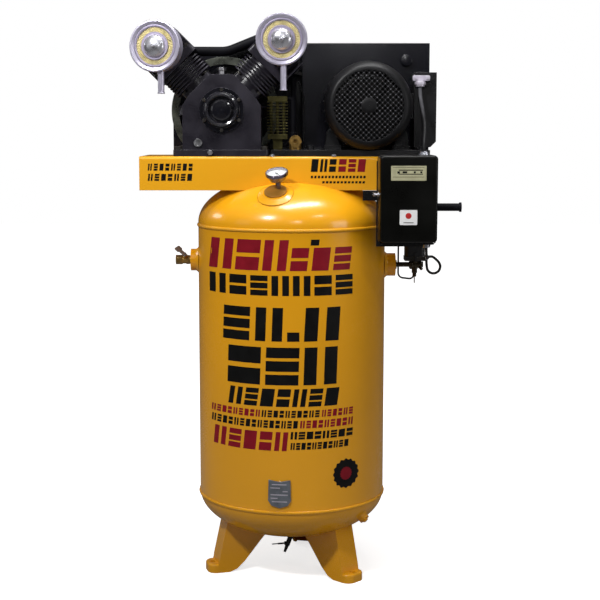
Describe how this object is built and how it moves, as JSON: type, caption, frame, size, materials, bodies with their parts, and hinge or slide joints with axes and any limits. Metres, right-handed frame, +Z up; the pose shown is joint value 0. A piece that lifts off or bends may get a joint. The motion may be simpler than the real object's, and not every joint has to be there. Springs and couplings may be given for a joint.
{
  "type": "vertical tank compressor",
  "caption": "Belt-driven two-cylinder piston air compressor with its motor, starter box and belt guard on a platform over an upright tank with dished ends and splayed feet.",
  "frame": {"origin": "centre of the circle of foot bolt holes, on the floor, which is also the tank's axis", "axes": "+Z up along the tank's axis, -Y towards the side with the starter box and gauge, +X towards the motor"},
  "size_m": [1.0288, 0.6197, 1.808],
  "materials": {
    "black_cast": "satin",
    "black_paint": "satin",
    "black_plastic": "matte",
    "brass": "satin",
    "cast_alloy": "satin",
    "chrome": "polished",
    "clear": "clear",
    "dark_steel": "satin",
    "dial_white": "matte",
    "gloss_black": "gloss",
    "grey_cable": "matte",
    "laminations": "matte",
    "paper": "matte",
    "platform_paint": "gloss",
    "plug_paint": "satin",
    "receiver_paint": "gloss",
    "red_plastic": "gloss",
    "rubber": "matte",
    "steel": "satin",
    "zinc": "satin"
  },
  "bodies": {
    "receiver_and_fixed_parts": {"tank_shell": "receiver_paint", "top_head": "receiver_paint", "bottom_head": "receiver_paint", "leg_front_left": "receiver_paint", "leg_front_right": "receiver_paint", "leg_rear": "receiver_paint", "tank_ports": "receiver_paint", "top_plug": "plug_paint", "gauge_case": "dark_steel", "gauge_dial": "dial_white", "gauge_lens": "clear", "drain_cock_body": "black_paint", "outlet_valve_body": "brass", "tank_nameplate": "zinc", "platform": "platform_paint", "crankcase": "black_cast", "front_cover": "gloss_black", "crank_bearings": "steel", "pistons_and_rods": "cast_alloy", "cylinder_left": "black_cast", "cylinder_right": "black_cast", "head_left": "black_cast", "head_right": "black_cast", "pump_fasteners": "dark_steel", "filter_cans": "chrome", "filter_elements": "paper", "filter_caps": "chrome", "drive_belts": "rubber", "discharge_pipes": "black_paint", "aftercooler": "brass", "check_valve": "brass", "crankcase_plugs": "steel", "motor_frame": "black_paint", "motor_end_bells": "black_paint", "fan_cowl": "black_paint", "motor_stator": "laminations", "motor_base": "black_paint", "terminal_box": "black_paint", "conduit_fittings": "zinc", "motor_cable": "grey_cable", "belt_guard": "gloss_black", "starter_base": "black_paint", "starter_contactor": "black_plastic", "pressure_switch": "dark_steel", "pressure_switch_cover": "black_plastic", "manifold": "dark_steel", "safety_valve": "brass", "unloader_tube": "black_paint", "switch_cable": "rubber"},
    "crank_and_flywheel": {"crankshaft": "dark_steel", "flywheel": "black_cast"},
    "motor_rotor_and_pulley": {"motor_rotor": "steel", "motor_pulley": "black_cast"},
    "gauge_pointer": {"gauge_needle": "black_paint"},
    "outlet_lever": {"outlet_valve_lever": "steel"},
    "drain_wing": {"drain_cock_wing": "black_paint"},
    "starter_door": {"starter_cover": "black_paint"},
    "reset_push_button": {"reset_button": "red_plastic"},
    "switch_lever": {"pressure_switch_lever": "black_plastic"},
    "relief_ring": {"safety_valve_ring": "steel"}
  },
  "joints": [
    {"name": "crank_spin", "type": "hinge", "parent": "receiver_and_fixed_parts", "child": "crank_and_flywheel", "pos_m": [-0.221, 0.139, 1.513], "axis": [0, 1, 0], "continuous": true},
    {"name": "motor_spin", "type": "hinge", "parent": "receiver_and_fixed_parts", "child": "motor_rotor_and_pulley", "pos_m": [0.24, 0, 1.526], "axis": [0, 1, 0], "continuous": true},
    {"name": "gauge_pointer_turn", "type": "hinge", "parent": "receiver_and_fixed_parts", "child": "gauge_pointer", "pos_m": [-0.04543, -0.23253, 1.31602], "axis": [-0.1149, -0.3693, 0.9222], "range_deg": [-270, 0], "stiffness_Nm_per_rad": 0.00002},
    {"name": "outlet_lever_turn", "type": "hinge", "parent": "receiver_and_fixed_parts", "child": "outlet_lever", "pos_m": [-0.35, 0, 1.028], "axis": [0, 0.7071, -0.7071], "range_deg": [-48, 42]},
    {"name": "drain_wing_turn", "type": "hinge", "parent": "receiver_and_fixed_parts", "child": "drain_wing", "pos_m": [-0.0122, -0.00746, 0.06915], "axis": [-0.9917, 0.0805, -0.1007], "range_deg": [0, 90]},
    {"name": "starter_door_hinge", "type": "hinge", "parent": "receiver_and_fixed_parts", "child": "starter_door", "pos_m": [0.447, -0.25, 1.236], "axis": [0, 0, 1], "range_deg": [0, 110]},
    {"name": "reset_button_press", "type": "slide", "parent": "receiver_and_fixed_parts", "child": "reset_push_button", "axis": [0, 1, 0], "range_m": [0, 0.003], "stiffness_N_per_m": 300},
    {"name": "switch_lever_turn", "type": "hinge", "parent": "receiver_and_fixed_parts", "child": "switch_lever", "pos_m": [0.404, -0.032, 1.033], "axis": [0, 1, 0], "range_deg": [-22, 22]},
    {"name": "relief_ring_pull", "type": "slide", "parent": "receiver_and_fixed_parts", "child": "relief_ring", "axis": [0, 0, -1], "range_m": [0, 0.003], "stiffness_N_per_m": 800}
  ],
  "couplings": [
    {"joint": "motor_spin", "follows": "crank_spin", "ratio": 2.6875}
  ]
}
